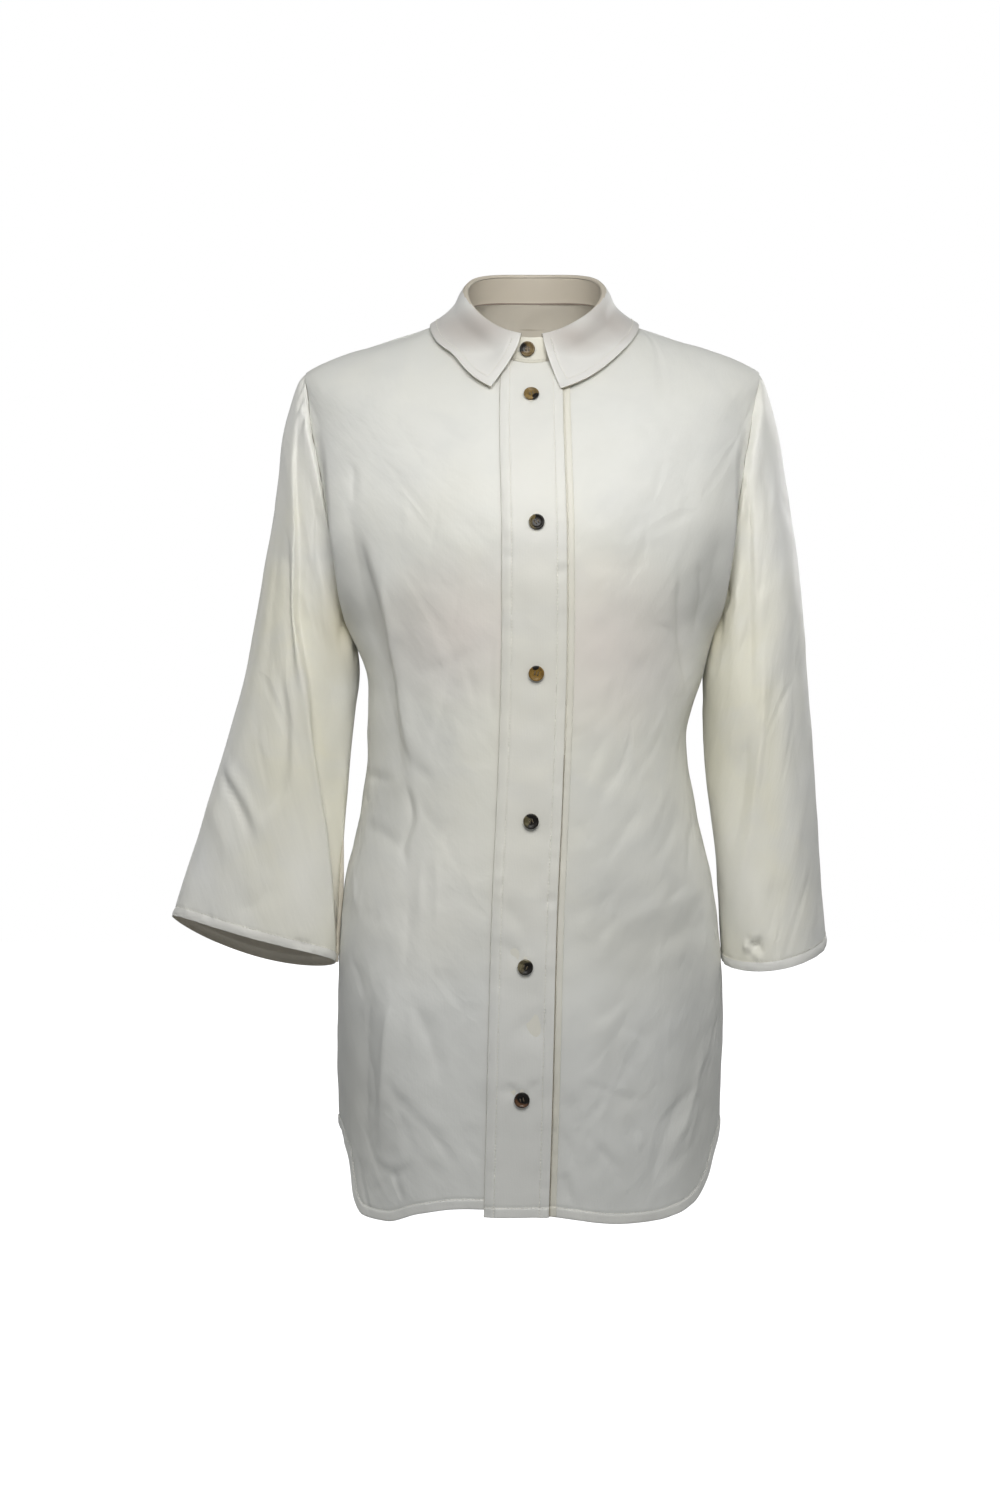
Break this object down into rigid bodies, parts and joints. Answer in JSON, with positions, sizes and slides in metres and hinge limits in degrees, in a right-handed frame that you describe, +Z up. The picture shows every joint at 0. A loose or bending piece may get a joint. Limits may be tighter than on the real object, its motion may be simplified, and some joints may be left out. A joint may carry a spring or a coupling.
{
  "type": "button-up tunic shirt",
  "caption": "Collared button-up tunic shirt with three-quarter bell sleeves and a rounded shirt-tail hem, filled out as if worn.",
  "frame": {"origin": "midway between the two points where the shoulder seams meet the neckline, where a wearer's shoulders carry the shirt", "axes": "+Z up, -Y the front, +X the wearer's left"},
  "size_m": [0.5525, 0.2594, 0.8013],
  "materials": {
    "cloth": "satin",
    "band_cloth": "satin",
    "button": "polished tortoiseshell"
  },
  "bodies": {
    "root": {"front_left": "cloth", "front_right": "cloth", "back": "cloth", "sleeve_left": "cloth", "sleeve_right": "cloth", "placket_left": "band_cloth", "placket_right": "band_cloth", "collar_stand": "band_cloth", "collar": "band_cloth", "button_neck": "button", "button_1": "button", "button_2": "button", "button_3": "button", "button_4": "button", "button_5": "button", "button_6": "button"}
  },
  "joints": []
}
